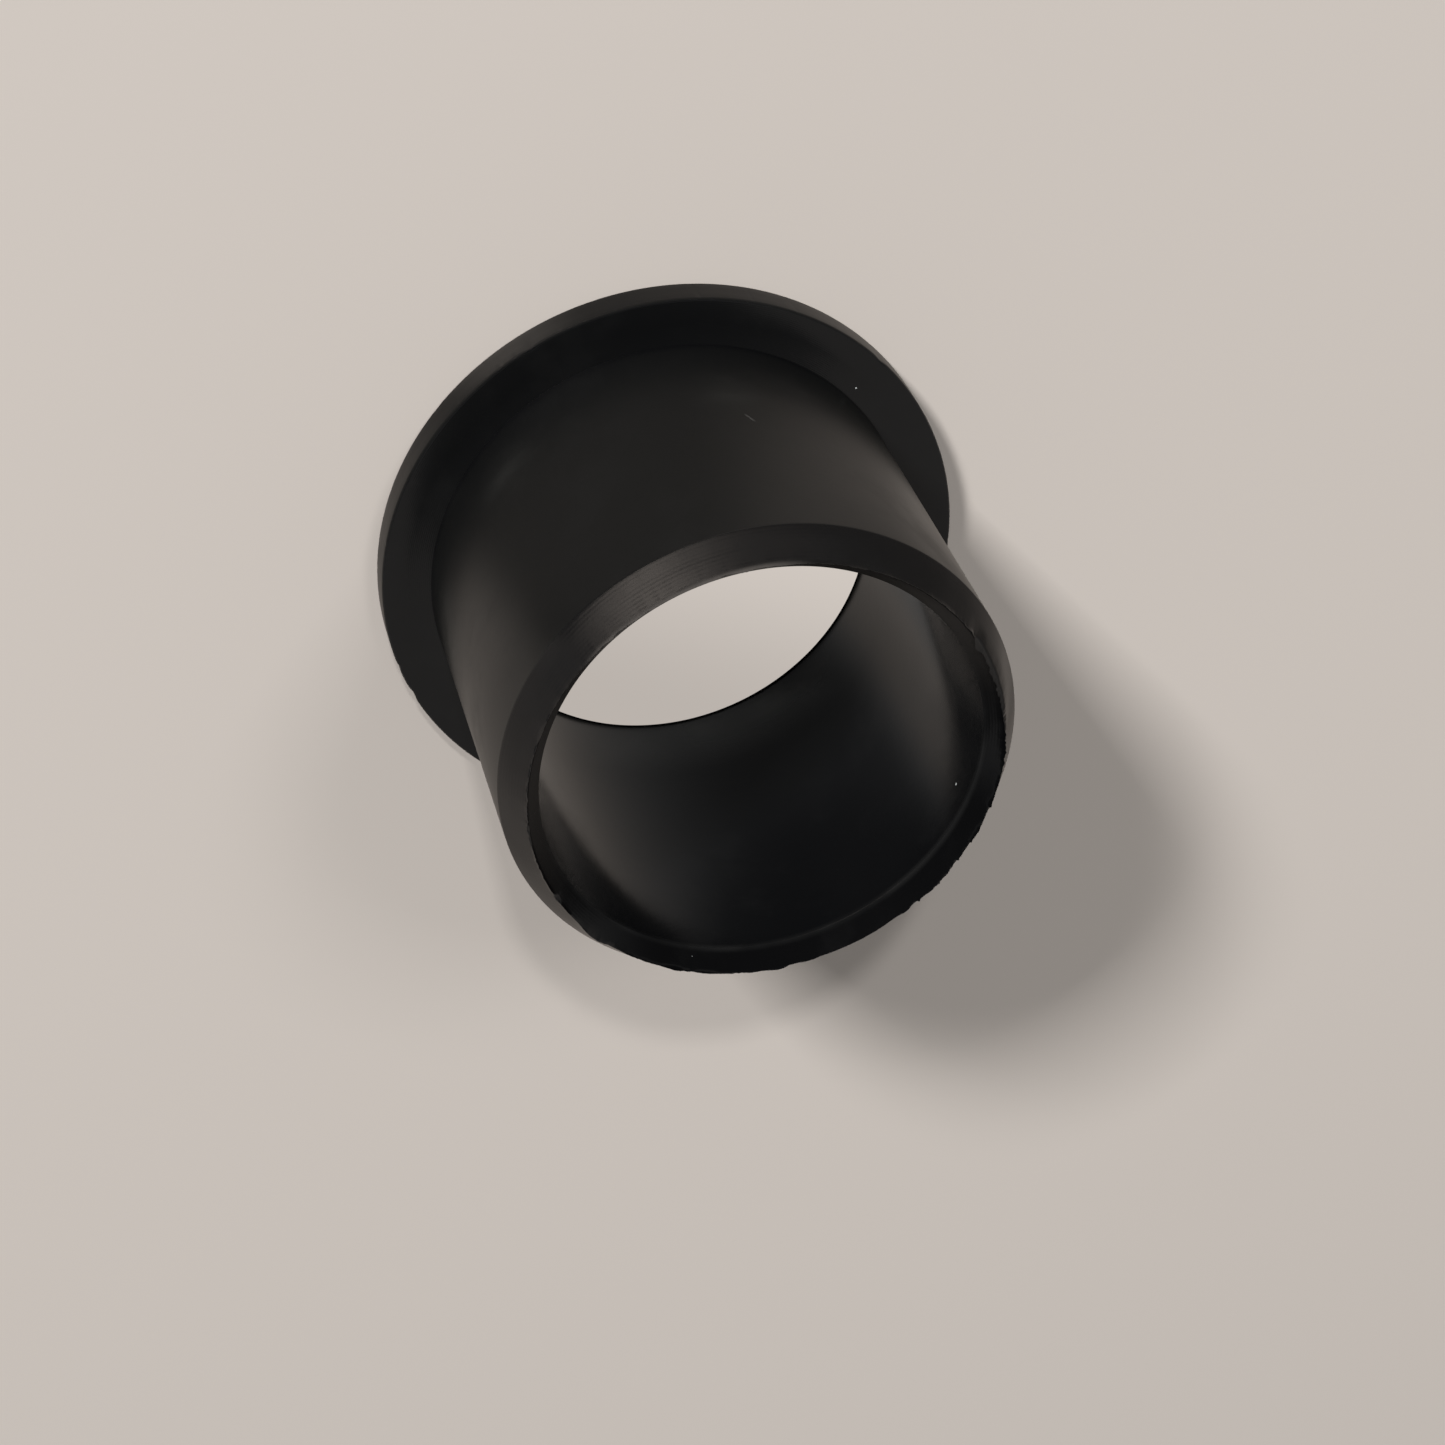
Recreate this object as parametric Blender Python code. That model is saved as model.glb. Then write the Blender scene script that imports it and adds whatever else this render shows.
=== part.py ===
"""Flanged plastic bushing: a straight tube with a thin round flange and a knife-edge lip.

It is one moulded piece, and its only opening is the bore that goes right through. It stands on
the back face of the flange with the lip up: +Z runs along the bore, and the origin is the centre
of that face. The skilled feature is the lip: two bevels meet in an edge that carries a thin,
ragged fin of moulding flash.
"""

import math
import random

import bmesh
import bpy

MM = 0.001

# Tube
BORE_DIAMETER = 25.7 * MM
WALL = 2.15 * MM
OVERALL_LENGTH = 25.4 * MM
BORE_ENTRY_ROUND = 1.1 * MM

# Flange
FLANGE_PROJECTION = 3.0 * MM
FLANGE_THICKNESS = 2.1 * MM
RIM_ROUND = 0.18 * MM
ROOT_FILLET = 0.45 * MM

# Lip: the inner bevel takes its own width of the wall, and the outer bevel takes the rest
INNER_BEVEL_WIDTH = 0.92 * MM
INNER_BEVEL_ANGLE = math.radians(37.0)
OUTER_BEVEL_ANGLE = math.radians(30.2)

# Flash along the lip's edge: a fin that starts a little below the edge on both bevels
FLASH_FOOT = 0.28 * MM
FLASH_HEIGHT = 0.06 * MM
FLASH_RAGGEDNESS = 0.05 * MM
FLASH_SEED = 7
FLASH_WAVES_PER_TURN = (7, 16, 29, 41, 53)
# Spots where the fin is bitten out: angle from +X, width along the edge, depth
FLASH_BITES = (
    (math.radians(6.4), 0.9 * MM, 0.22 * MM),
    (math.radians(27.7), 1.3 * MM, 0.20 * MM),
    (math.radians(109.0), 0.6 * MM, 0.18 * MM),
    (math.radians(123.5), 0.5 * MM, 0.14 * MM),
    (math.radians(139.8), 0.6 * MM, 0.16 * MM),
    (math.radians(292.0), 0.8 * MM, 0.10 * MM),
)

# Facets
STEPS_AROUND = 144
STEPS_PER_ROUND = 4
STEPS_PER_RIM = 2

# Values that follow from the dimensions
BORE_RADIUS = BORE_DIAMETER / 2
TUBE_RADIUS = BORE_RADIUS + WALL
FLANGE_RADIUS = TUBE_RADIUS + FLANGE_PROJECTION
EDGE_RADIUS = BORE_RADIUS + INNER_BEVEL_WIDTH
INNER_BEVEL_LENGTH = INNER_BEVEL_WIDTH / math.tan(INNER_BEVEL_ANGLE)
OUTER_BEVEL_LENGTH = (TUBE_RADIUS - EDGE_RADIUS) / math.tan(OUTER_BEVEL_ANGLE)

SHARP_ANGLE = math.radians(26.0)


def clear_scene():
    for obj in list(bpy.data.objects):
        bpy.data.objects.remove(obj, do_unlink=True)


def quarter_round(centre_r, centre_z, radius, start_degrees, turn_degrees, steps):
    """Points (r, z) along a quarter circle of the profile, both ends included."""
    points = []
    for step in range(steps + 1):
        angle = math.radians(start_degrees + turn_degrees * step / steps)
        points.append((centre_r + radius * math.cos(angle), centre_z + radius * math.sin(angle)))
    return points


def wall_section():
    """The wall's closed outline (r, z), from the lip's edge down the outside and up the bore."""
    outer_foot = (
        EDGE_RADIUS + FLASH_FOOT * math.sin(OUTER_BEVEL_ANGLE),
        OVERALL_LENGTH - FLASH_FOOT * math.cos(OUTER_BEVEL_ANGLE),
    )
    inner_foot = (
        EDGE_RADIUS - FLASH_FOOT * math.sin(INNER_BEVEL_ANGLE),
        OVERALL_LENGTH - FLASH_FOOT * math.cos(INNER_BEVEL_ANGLE),
    )
    outline = [(EDGE_RADIUS, OVERALL_LENGTH), outer_foot]
    outline.append((TUBE_RADIUS, OVERALL_LENGTH - OUTER_BEVEL_LENGTH))
    root_z = FLANGE_THICKNESS + ROOT_FILLET
    outline += quarter_round(TUBE_RADIUS + ROOT_FILLET, root_z, ROOT_FILLET, 180, 90, STEPS_PER_ROUND)
    rim_r = FLANGE_RADIUS - RIM_ROUND
    outline += quarter_round(rim_r, FLANGE_THICKNESS - RIM_ROUND, RIM_ROUND, 90, -90, STEPS_PER_RIM)
    outline += quarter_round(rim_r, RIM_ROUND, RIM_ROUND, 0, -90, STEPS_PER_RIM)
    entry_r = BORE_RADIUS + BORE_ENTRY_ROUND
    outline += quarter_round(entry_r, BORE_ENTRY_ROUND, BORE_ENTRY_ROUND, 270, -90, STEPS_PER_ROUND)
    outline.append((BORE_RADIUS, OVERALL_LENGTH - INNER_BEVEL_LENGTH))
    outline.append(inner_foot)
    return outline


def revolve(outline):
    """A bmesh of the closed outline turned once round the Z axis."""
    mesh = bmesh.new()
    corners = [mesh.verts.new((r, 0.0, z)) for r, z in outline]
    sides = [mesh.edges.new((a, b)) for a, b in zip(corners, corners[1:] + corners[:1])]
    bmesh.ops.spin(
        mesh,
        geom=corners + sides,
        cent=(0.0, 0.0, 0.0),
        axis=(0.0, 0.0, 1.0),
        angle=math.tau,
        steps=STEPS_AROUND,
        use_merge=True,
    )
    bmesh.ops.remove_doubles(mesh, verts=mesh.verts[:], dist=MM * 1e-3)
    bmesh.ops.recalc_face_normals(mesh, faces=mesh.faces[:])
    return mesh


def angle_between(a, b):
    """The smallest turn from one angle to another, between 0 and half a turn."""
    return abs((a - b + math.pi) % math.tau - math.pi)


def flash_waves():
    """(waves per turn, phase) pairs of the fin's ragged outline."""
    phases = random.Random(FLASH_SEED)
    return [(count, phases.uniform(0.0, math.tau)) for count in FLASH_WAVES_PER_TURN]


def flash_height(angle, waves):
    """How far the fin stands past the ideal edge at this angle. It is negative in a bite."""
    ragged = sum(math.sin(count * angle + phase) for count, phase in waves) / math.sqrt(len(waves))
    height = FLASH_HEIGHT + FLASH_RAGGEDNESS * ragged
    for place, width, depth in FLASH_BITES:
        along = angle_between(angle, place) * EDGE_RADIUS
        height -= depth * math.exp(-((2 * along / width) ** 2))
    return height


def raise_flash(mesh):
    """Moves the points of the lip's edge to the fin's ragged outline."""
    waves = flash_waves()
    lean = (OUTER_BEVEL_ANGLE - INNER_BEVEL_ANGLE) / 2
    for vert in mesh.verts:
        x, y, z = vert.co
        if z < OVERALL_LENGTH - MM * 1e-3:
            continue
        angle = math.atan2(y, x)
        height = flash_height(angle, waves)
        radius = EDGE_RADIUS - height * math.sin(lean)
        vert.co = (
            radius * math.cos(angle),
            radius * math.sin(angle),
            OVERALL_LENGTH + height * math.cos(lean),
        )


def black_plastic():
    """Satin black moulded plastic."""
    material = bpy.data.materials.new("black_plastic")
    material.use_nodes = True
    shader = material.node_tree.nodes["Principled BSDF"]
    shader.inputs["Base Color"].default_value = (0.018, 0.018, 0.019, 1.0)
    shader.inputs["Roughness"].default_value = 0.36
    shader.inputs["Metallic"].default_value = 0.0
    material.diffuse_color = (0.018, 0.018, 0.019, 1.0)
    return material


def make_bushing():
    shape = revolve(wall_section())
    raise_flash(shape)
    mesh = bpy.data.meshes.new("flanged_bushing")
    shape.to_mesh(mesh)
    shape.free()
    mesh.materials.append(black_plastic())
    mesh.shade_smooth()
    mesh.set_sharp_from_angle(angle=SHARP_ANGLE)
    bushing = bpy.data.objects.new("flanged_bushing", mesh)
    bpy.context.scene.collection.objects.link(bushing)
    return bushing


clear_scene()
make_bushing()
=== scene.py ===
"""Looks of a black moulded flanged bushing that stands on its flange, with the knife-edge lip up."""

import math
import random

import bmesh
import bpy
from bpy.props import FloatProperty, FloatVectorProperty, IntProperty
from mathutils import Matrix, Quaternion, Vector


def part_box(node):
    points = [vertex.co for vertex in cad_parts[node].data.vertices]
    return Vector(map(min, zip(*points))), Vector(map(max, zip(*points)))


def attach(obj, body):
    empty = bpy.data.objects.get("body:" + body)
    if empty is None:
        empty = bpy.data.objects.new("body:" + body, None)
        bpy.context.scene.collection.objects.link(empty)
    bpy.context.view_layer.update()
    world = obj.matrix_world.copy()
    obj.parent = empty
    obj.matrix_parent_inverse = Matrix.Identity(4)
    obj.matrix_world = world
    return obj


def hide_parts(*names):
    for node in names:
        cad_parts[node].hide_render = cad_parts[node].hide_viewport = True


bl_info = {
    "name": "Flanged bushing",
    "version": (1, 0, 0),
    "blender": (4, 5, 0),
    "location": "3D View > Sidebar > Bushing",
    "description": "Builds a black flanged bushing with a ragged knife-edge lip, and its studio",
    "category": "Object",
}

MM = 0.001
NODE = "flanged_bushing"
SLOT = "black_plastic"

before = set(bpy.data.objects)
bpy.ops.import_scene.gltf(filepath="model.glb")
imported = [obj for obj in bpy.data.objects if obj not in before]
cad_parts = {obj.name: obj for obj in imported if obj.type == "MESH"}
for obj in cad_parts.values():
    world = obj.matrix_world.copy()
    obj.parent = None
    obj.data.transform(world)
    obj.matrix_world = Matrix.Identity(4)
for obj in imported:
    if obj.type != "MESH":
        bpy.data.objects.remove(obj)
NODE_LOW, NODE_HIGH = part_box(NODE)
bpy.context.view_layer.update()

# Sizes that the frame gives
FLANGE_RADIUS = NODE_HIGH[0]

# Spots where the flash is bitten out: angle from +X, width along the edge, depth, and height of the barb
# beside it
FLASH_BITES = (
    (math.radians(6.4), 0.9 * MM, 0.22 * MM, 0.05 * MM),
    (math.radians(27.7), 1.3 * MM, 0.20 * MM, 0.0),
    (math.radians(109.0), 0.6 * MM, 0.18 * MM, 0.16 * MM),
    (math.radians(123.5), 0.5 * MM, 0.14 * MM, 0.14 * MM),
    (math.radians(129.5), 0.4 * MM, 0.08 * MM, 0.12 * MM),
    (math.radians(139.8), 0.6 * MM, 0.16 * MM, 0.06 * MM),
    (math.radians(292.0), 0.8 * MM, 0.10 * MM, 0.04 * MM),
    (math.radians(344.4), 1.0 * MM, 0.17 * MM, 0.0),
    (math.radians(318.0), 14.0 * MM, 0.05 * MM, 0.0),
    (math.radians(209.0), 11.0 * MM, 0.05 * MM, 0.0),
    (math.radians(103.5), 3.4 * MM, 0.06 * MM, 0.0),
)
# Stretches where it is torn: middle angle, length, height of the shreds
TORN_STRETCHES = (
    (math.radians(172.0), 10.0 * MM, 0.18 * MM),
    (math.radians(120.0), 7.0 * MM, 0.08 * MM),
    (math.radians(345.0), 8.0 * MM, 0.07 * MM),
    (math.radians(268.0), 14.0 * MM, 0.05 * MM),
)
# Where it is calm: middle angle, length, share that is taken off it
CALM_STRETCH = (math.radians(93.0), 8.5 * MM, 0.70)
# Where it is pressed outwards, or inwards: angle, length, shift
PRESSED_FLASH = (
    (math.radians(22.5), 2.4 * MM, 0.17 * MM),
    (math.radians(189.3), 0.8 * MM, -0.30 * MM),
    (math.radians(183.5), 3.4 * MM, -0.20 * MM),
    (math.radians(175.5), 3.0 * MM, -0.16 * MM),
    (math.radians(167.0), 3.0 * MM, -0.14 * MM),
)
FLASH_WAVES_PER_TURN = (7, 16, 29, 41, 53)
BARB_WIDTH = 0.16 * MM
FLASH_SEED = 7
# Rows of one side of the fin: share of its height, share of its foot below the edge
FIN_ROWS = ((1.0, 0.0), (0.72, 0.14), (0.42, 0.32), (0.16, 0.6), (0.0, 1.0))
# How fine each noise round the part is
TEETH_SCALE = 34.0
SHRED_SCALE = 20.0
SWAY_SCALE = 30.0
DENT_SCALE = 26.0
# Nicks in the flange's front edge: angle, width, depth
RIM_NICKS = (
    (math.radians(277.2), 0.7 * MM, 0.10 * MM),
    (math.radians(2.5), 0.9 * MM, 0.09 * MM),
    (math.radians(355.5), 0.5 * MM, 0.07 * MM),
    (math.radians(202.9), 0.8 * MM, 0.06 * MM),
)

# Pale smudges: place, radius, strength
SMUDGES = (
    (Vector((6.4, -13.6, 6.6)) * MM, 3.4 * MM, 0.50),
    (Vector((-5.0, 11.8, 2.9)) * MM, 2.4 * MM, 1.3),
    (Vector((-2.0, 12.7, 2.1)) * MM, 2.4 * MM, 1.5),
    (Vector((2.7, 12.6, 2.0)) * MM, 2.0 * MM, 1.2),
    (Vector((13.9, -5.6, 8.2)) * MM, 4.6 * MM, 1.3),
    (Vector((-7.0, -13.2, 8.5)) * MM, 3.0 * MM, 0.30),
)
# Specks of dust: place, radius
SPECKS = (
    (Vector((-14.54, -6.0, 2.1)) * MM, 0.065 * MM),
    (Vector((-9.6, 8.53, 22.5)) * MM, 0.09 * MM),
    (Vector((8.44, 10.17, 24.67)) * MM, 0.025 * MM),
)
# A light scratch on the tube: middle, direction, half its length, half its width
SCRATCH = (
    Vector((-7.45, -13.0, 11.3)) * MM,
    Vector((-0.35, 0.2, 0.9)).normalized(),
    0.55 * MM,
    0.09 * MM,
)

# Colours that the masks mix in over the plastic
HAZE_TINT = (0.0055, 0.0054, 0.0053)
# Painted light deep in the bore
FAR_BORE_LIGHT_TINT = (0.0265, 0.0265, 0.0255)
INNER_BEVEL_TINT = (0.0027, 0.0027, 0.0029)
# Painted highlight round the corner where the inner bevel meets the bore
BORE_CORNER_GLINT_TINT = (0.0100, 0.0100, 0.0100)
HANDLING_TINT = (0.020, 0.020, 0.020)
SMUDGE_TINT = (0.055, 0.055, 0.052)
SCRATCH_TINT = (0.060, 0.060, 0.058)
TOOL_LINE_PITCH = 0.12 * MM


class BushingSizes(bpy.types.PropertyGroup):
    """Sizes of the moulding."""

    wall: FloatProperty(
        name="Wall",
        description="Thickness of the tube's wall",
        default=2.15 * MM,
        unit="LENGTH",
        precision=5,
    )
    bore_radius: FloatProperty(
        name="Bore radius",
        description="Radius of the bore",
        default=12.85 * MM,
        unit="LENGTH",
        precision=5,
    )
    length: FloatProperty(
        name="Length",
        description="From the flange's back face to the lip's edge, without the flash",
        default=25.4 * MM,
        unit="LENGTH",
        precision=5,
    )
    flange_thickness: FloatProperty(
        name="Flange thickness",
        description="Thickness of the flange",
        default=2.1 * MM,
        unit="LENGTH",
        precision=5,
    )
    root_fillet: FloatProperty(
        name="Root fillet",
        description="Radius where the tube meets the flange",
        default=0.008 * MM,
        unit="LENGTH",
        precision=5,
    )
    rim_round: FloatProperty(
        name="Rim round",
        description="Radius of the flange's two outer edges",
        default=0.18 * MM,
        unit="LENGTH",
        precision=5,
    )
    bore_entry_round: FloatProperty(
        name="Bore entry round",
        description="Radius of the bore's edge at the flange",
        default=1.1 * MM,
        unit="LENGTH",
        precision=5,
    )
    inner_bevel_width: FloatProperty(
        name="Inner bevel",
        description="Part of the wall that the lip's inner bevel takes",
        default=0.92 * MM,
        unit="LENGTH",
        precision=5,
    )
    inner_bevel_angle: FloatProperty(
        name="Inner bevel angle",
        description="Angle between the inner bevel and the bore's axis",
        default=math.radians(37.0),
        subtype="ANGLE",
    )
    outer_bevel_angle: FloatProperty(
        name="Outer bevel angle",
        description="Angle between the outer bevel and the bore's axis",
        default=math.radians(30.2),
        subtype="ANGLE",
    )
    bevel_round: FloatProperty(
        name="Bevel round",
        description="Radius where the outer bevel meets the tube",
        default=0.30 * MM,
        unit="LENGTH",
        precision=5,
    )
    bore_round: FloatProperty(
        name="Bore round",
        description="Radius where the inner bevel meets the bore",
        default=0.12 * MM,
        unit="LENGTH",
        precision=5,
    )
    steps_around: IntProperty(
        name="Steps around", description="Facets round the bushing", default=1320, min=48
    )


class BushingFlash(bpy.types.PropertyGroup):
    """The ragged fin along the lip."""

    foot: FloatProperty(
        name="Foot",
        description="Where the fin starts, below the lip's edge",
        default=0.28 * MM,
        unit="LENGTH",
        precision=5,
    )
    height: FloatProperty(
        name="Height",
        description="Mean height past the edge",
        default=0.06 * MM,
        unit="LENGTH",
        precision=5,
    )
    raggedness: FloatProperty(
        name="Raggedness",
        description="Size of its slow waves",
        default=0.05 * MM,
        unit="LENGTH",
        precision=5,
    )
    grit: FloatProperty(
        name="Grit",
        description="Size of its fine teeth",
        default=0.09 * MM,
        unit="LENGTH",
        precision=5,
    )
    thickness: FloatProperty(
        name="Thickness",
        description="Thickness of the fin at its top",
        default=0.014 * MM,
        unit="LENGTH",
        precision=5,
    )
    rim_wear: FloatProperty(
        name="Rim wear",
        description="Depth of the small dents along the flange's edges",
        default=0.035 * MM,
        unit="LENGTH",
        precision=5,
    )


class BushingFinish(bpy.types.PropertyGroup):
    """Colours and gloss."""

    plastic: FloatVectorProperty(
        name="Plastic",
        description="Colour of the moulding",
        default=(0.0033, 0.0034, 0.0038),
        subtype="COLOR",
        min=0,
        max=1,
    )
    cut_edge: FloatVectorProperty(
        name="Cut edge",
        description="Colour of the rim that the tool has cut",
        default=(0.0085, 0.0083, 0.0080),
        subtype="COLOR",
        min=0,
        max=1,
    )
    # The film fades out toward the flange, which paints the shade at the tube's root.
    film_and_root_shade: FloatVectorProperty(
        name="Film",
        description="Colour of the handled outside of the tube",
        default=(0.0076, 0.0077, 0.0075),
        subtype="COLOR",
        min=0,
        max=1,
    )
    # Paler side of the inner bevel: wear, and a painted sheen.
    rubbed_sheen: FloatVectorProperty(
        name="Rubbed",
        description="Colour of the worn side of the inner bevel",
        default=(0.059, 0.053, 0.048),
        subtype="COLOR",
        min=0,
        max=1,
    )
    # The burr's pale colour is a painted highlight, where light catches the fin.
    burr_glint: FloatVectorProperty(
        name="Burr",
        description="Colour of the pale burr along the lip",
        default=(0.055, 0.050, 0.046),
        subtype="COLOR",
        min=0,
        max=1,
    )
    dust: FloatVectorProperty(
        name="Dust",
        description="Colour of the dust specks",
        default=(0.45, 0.47, 0.46),
        subtype="COLOR",
        min=0,
        max=1,
    )
    roughness: FloatProperty(
        name="Roughness",
        description="Gloss of the clean moulding",
        default=0.17,
        min=0,
        max=1,
    )
    floor: FloatVectorProperty(
        name="Floor",
        description="Colour of the floor",
        default=(0.598, 0.545, 0.500),
        subtype="COLOR",
        min=0,
        max=1,
    )


class BushingStudio(bpy.types.PropertyGroup):
    """Camera and lamps."""

    camera_distance: FloatProperty(
        name="Camera distance",
        description="From the origin to the camera",
        default=187.31 * MM,
        unit="LENGTH",
    )
    camera_elevation: FloatProperty(
        name="Camera elevation",
        description="Above the floor",
        default=math.radians(56.36),
        subtype="ANGLE",
    )
    camera_roll: FloatProperty(
        name="Camera roll",
        description="Turn about the camera's own axis",
        default=math.radians(155.79),
        subtype="ANGLE",
    )
    lens: FloatProperty(
        name="Lens",
        description="Focal length on a 36 mm sensor",
        default=74.8 * MM,
        unit="LENGTH",
    )


def settings():
    return bpy.context.scene.bushing_sizes, bpy.context.scene.bushing_flash, bpy.context.scene.bushing_finish


# Section of the wall


def round_corner(before, corner, after, radius, steps):
    """Points along a fillet of this radius between the lines before-corner and corner-after."""
    to_before = (Vector(before) - Vector(corner)).normalized()
    to_after = (Vector(after) - Vector(corner)).normalized()
    half = to_before.angle(to_after) / 2
    reach = radius / math.tan(half)
    centre = Vector(corner) + (to_before + to_after).normalized() * (radius / math.sin(half))
    start = Vector(corner) + to_before * reach - centre
    end = Vector(corner) + to_after * reach - centre
    return [tuple(centre + start.slerp(end, step / steps) * radius) for step in range(steps + 1)]


def along(start, end, steps):
    """Points strictly between two points of the section."""
    start, end = Vector(start), Vector(end)
    return [tuple(start.lerp(end, step / steps)) for step in range(1, steps)]


def wall_section(sizes, flash):
    """The wall's closed outline, down the outside and up the bore: radius, height, fin share, rim wear."""
    tube_radius = sizes.bore_radius + sizes.wall
    edge_radius = sizes.bore_radius + sizes.inner_bevel_width
    outer_drop = (tube_radius - edge_radius) / math.tan(sizes.outer_bevel_angle)
    inner_drop = sizes.inner_bevel_width / math.tan(sizes.inner_bevel_angle)
    edge = (edge_radius, sizes.length)
    outer_corner = (tube_radius, sizes.length - outer_drop)
    root = (tube_radius, sizes.flange_thickness)
    front_rim = (FLANGE_RADIUS, sizes.flange_thickness)
    back_rim = (FLANGE_RADIUS, 0.0)
    bore_entry = (sizes.bore_radius, 0.0)
    inner_corner = (sizes.bore_radius, sizes.length - inner_drop)

    def fin_side(angle, outwards):
        """Rows of one side of the fin, from its top to its foot, on a bevel at this angle."""
        rows = []
        for share, reach in FIN_ROWS:
            shift = flash.foot * reach
            offset = flash.thickness / 2 if reach == 0.0 else shift * math.sin(angle)
            rows.append((edge_radius + outwards * offset, sizes.length - shift * math.cos(angle), share, 0.0))
        return rows

    def plain(points, wear=0.0):
        return [(r, z, 0.0, wear) for r, z in points]

    outer = fin_side(sizes.outer_bevel_angle, 1)
    inner = fin_side(sizes.inner_bevel_angle, -1)
    fillet_outer = round_corner(edge, outer_corner, root, sizes.bevel_round, 4)
    fillet_root = round_corner(outer_corner, root, front_rim, sizes.root_fillet, 4)
    fillet_front = round_corner(root, front_rim, back_rim, sizes.rim_round, 5)
    fillet_back = round_corner(front_rim, back_rim, bore_entry, sizes.rim_round, 5)
    fillet_entry = round_corner(back_rim, bore_entry, inner_corner, sizes.bore_entry_round, 10)
    fillet_inner = round_corner(bore_entry, inner_corner, edge, sizes.bore_round, 4)

    section = outer
    section += plain(along(outer[-1][:2], fillet_outer[0], 2))
    section += plain(fillet_outer)
    section += plain(along(fillet_outer[-1], fillet_root[0], 4))
    section += plain(fillet_root)
    section += plain(along(fillet_root[-1], fillet_front[0], 2))
    section += plain(fillet_front, 1.0)
    section += plain(along(fillet_front[-1], fillet_back[0], 3), 0.3)
    section += plain(fillet_back, 1.0)
    section += plain(along(fillet_back[-1], fillet_entry[0], 2))
    section += plain(fillet_entry)
    section += plain(along(fillet_entry[-1], fillet_inner[0], 4))
    section += plain(fillet_inner)
    section += plain(along(fillet_inner[-1], inner[-1][:2], 3))
    section += inner[::-1]
    return section


def section_object(sizes, flash):
    """The section as a mesh of points, with the fin's share and the rim's wear as attributes."""
    rows = wall_section(sizes, flash)
    mesh = bpy.data.meshes.new("wall_section")
    mesh.from_pydata([(r, 0.0, z) for r, z, _, _ in rows], [], [])
    for name, column in (("fin", 2), ("wear", 3)):
        values = mesh.attributes.new(name, "FLOAT", "POINT")
        values.data.foreach_set("value", [row[column] for row in rows])
    helper = bpy.data.objects.new("wall_section", mesh)
    bpy.context.scene.collection.objects.link(helper)
    return helper


# Geometry Nodes: turn a section round, with a ragged fin and worn rims


class Tree:
    """A node tree with short calls for adding and joining nodes."""

    def __init__(self, tree):
        self.tree = tree

    def node(self, kind, inputs=(), **options):
        made = self.tree.nodes.new(kind)
        for name, value in options.items():
            setattr(made, name, value)
        for key, value in dict(inputs).items():
            self.feed(made.inputs[key], value)
        return made

    def feed(self, socket, value):
        if isinstance(value, bpy.types.NodeSocket):
            self.tree.links.new(value, socket)
        elif isinstance(value, bpy.types.Node):
            self.tree.links.new(value.outputs[0], socket)
        else:
            socket.default_value = value

    def math(self, operation, *values, clamp=False):
        made = self.node("ShaderNodeMath", dict(enumerate(values)), operation=operation, use_clamp=clamp)
        return made.outputs[0]

    def vector(self, operation, *values):
        made = self.node("ShaderNodeVectorMath", operation=operation)
        for place, value in enumerate(values):
            self.feed(made.inputs[place], value)
        gives_number = operation in ("LENGTH", "DOT_PRODUCT", "DISTANCE")
        return made.outputs["Value"] if gives_number else made.outputs[0]

    def total(self, *values):
        """Sum of the values."""
        result = values[0]
        for value in values[1:]:
            result = self.math("ADD", result, value)
        return result

    def product(self, *values):
        """Product of the values."""
        result = values[0]
        for value in values[1:]:
            result = self.math("MULTIPLY", result, value)
        return result

    def hypotenuse(self, across, along):
        """Length of the line with these two components."""
        return self.math("SQRT", self.total(self.product(across, across), self.product(along, along)))

    def ramp(self, value, low, high, to_low=0.0, to_high=1.0, smooth=True):
        """Maps low..high to to_low..to_high, held at both ends."""
        made = self.node("ShaderNodeMapRange", interpolation_type="SMOOTHSTEP" if smooth else "LINEAR")
        names = ("Value", "From Min", "From Max", "To Min", "To Max")
        for name, number in zip(names, (value, low, high, to_low, to_high)):
            self.feed(made.inputs[name], number)
        return made.outputs[0]


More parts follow.
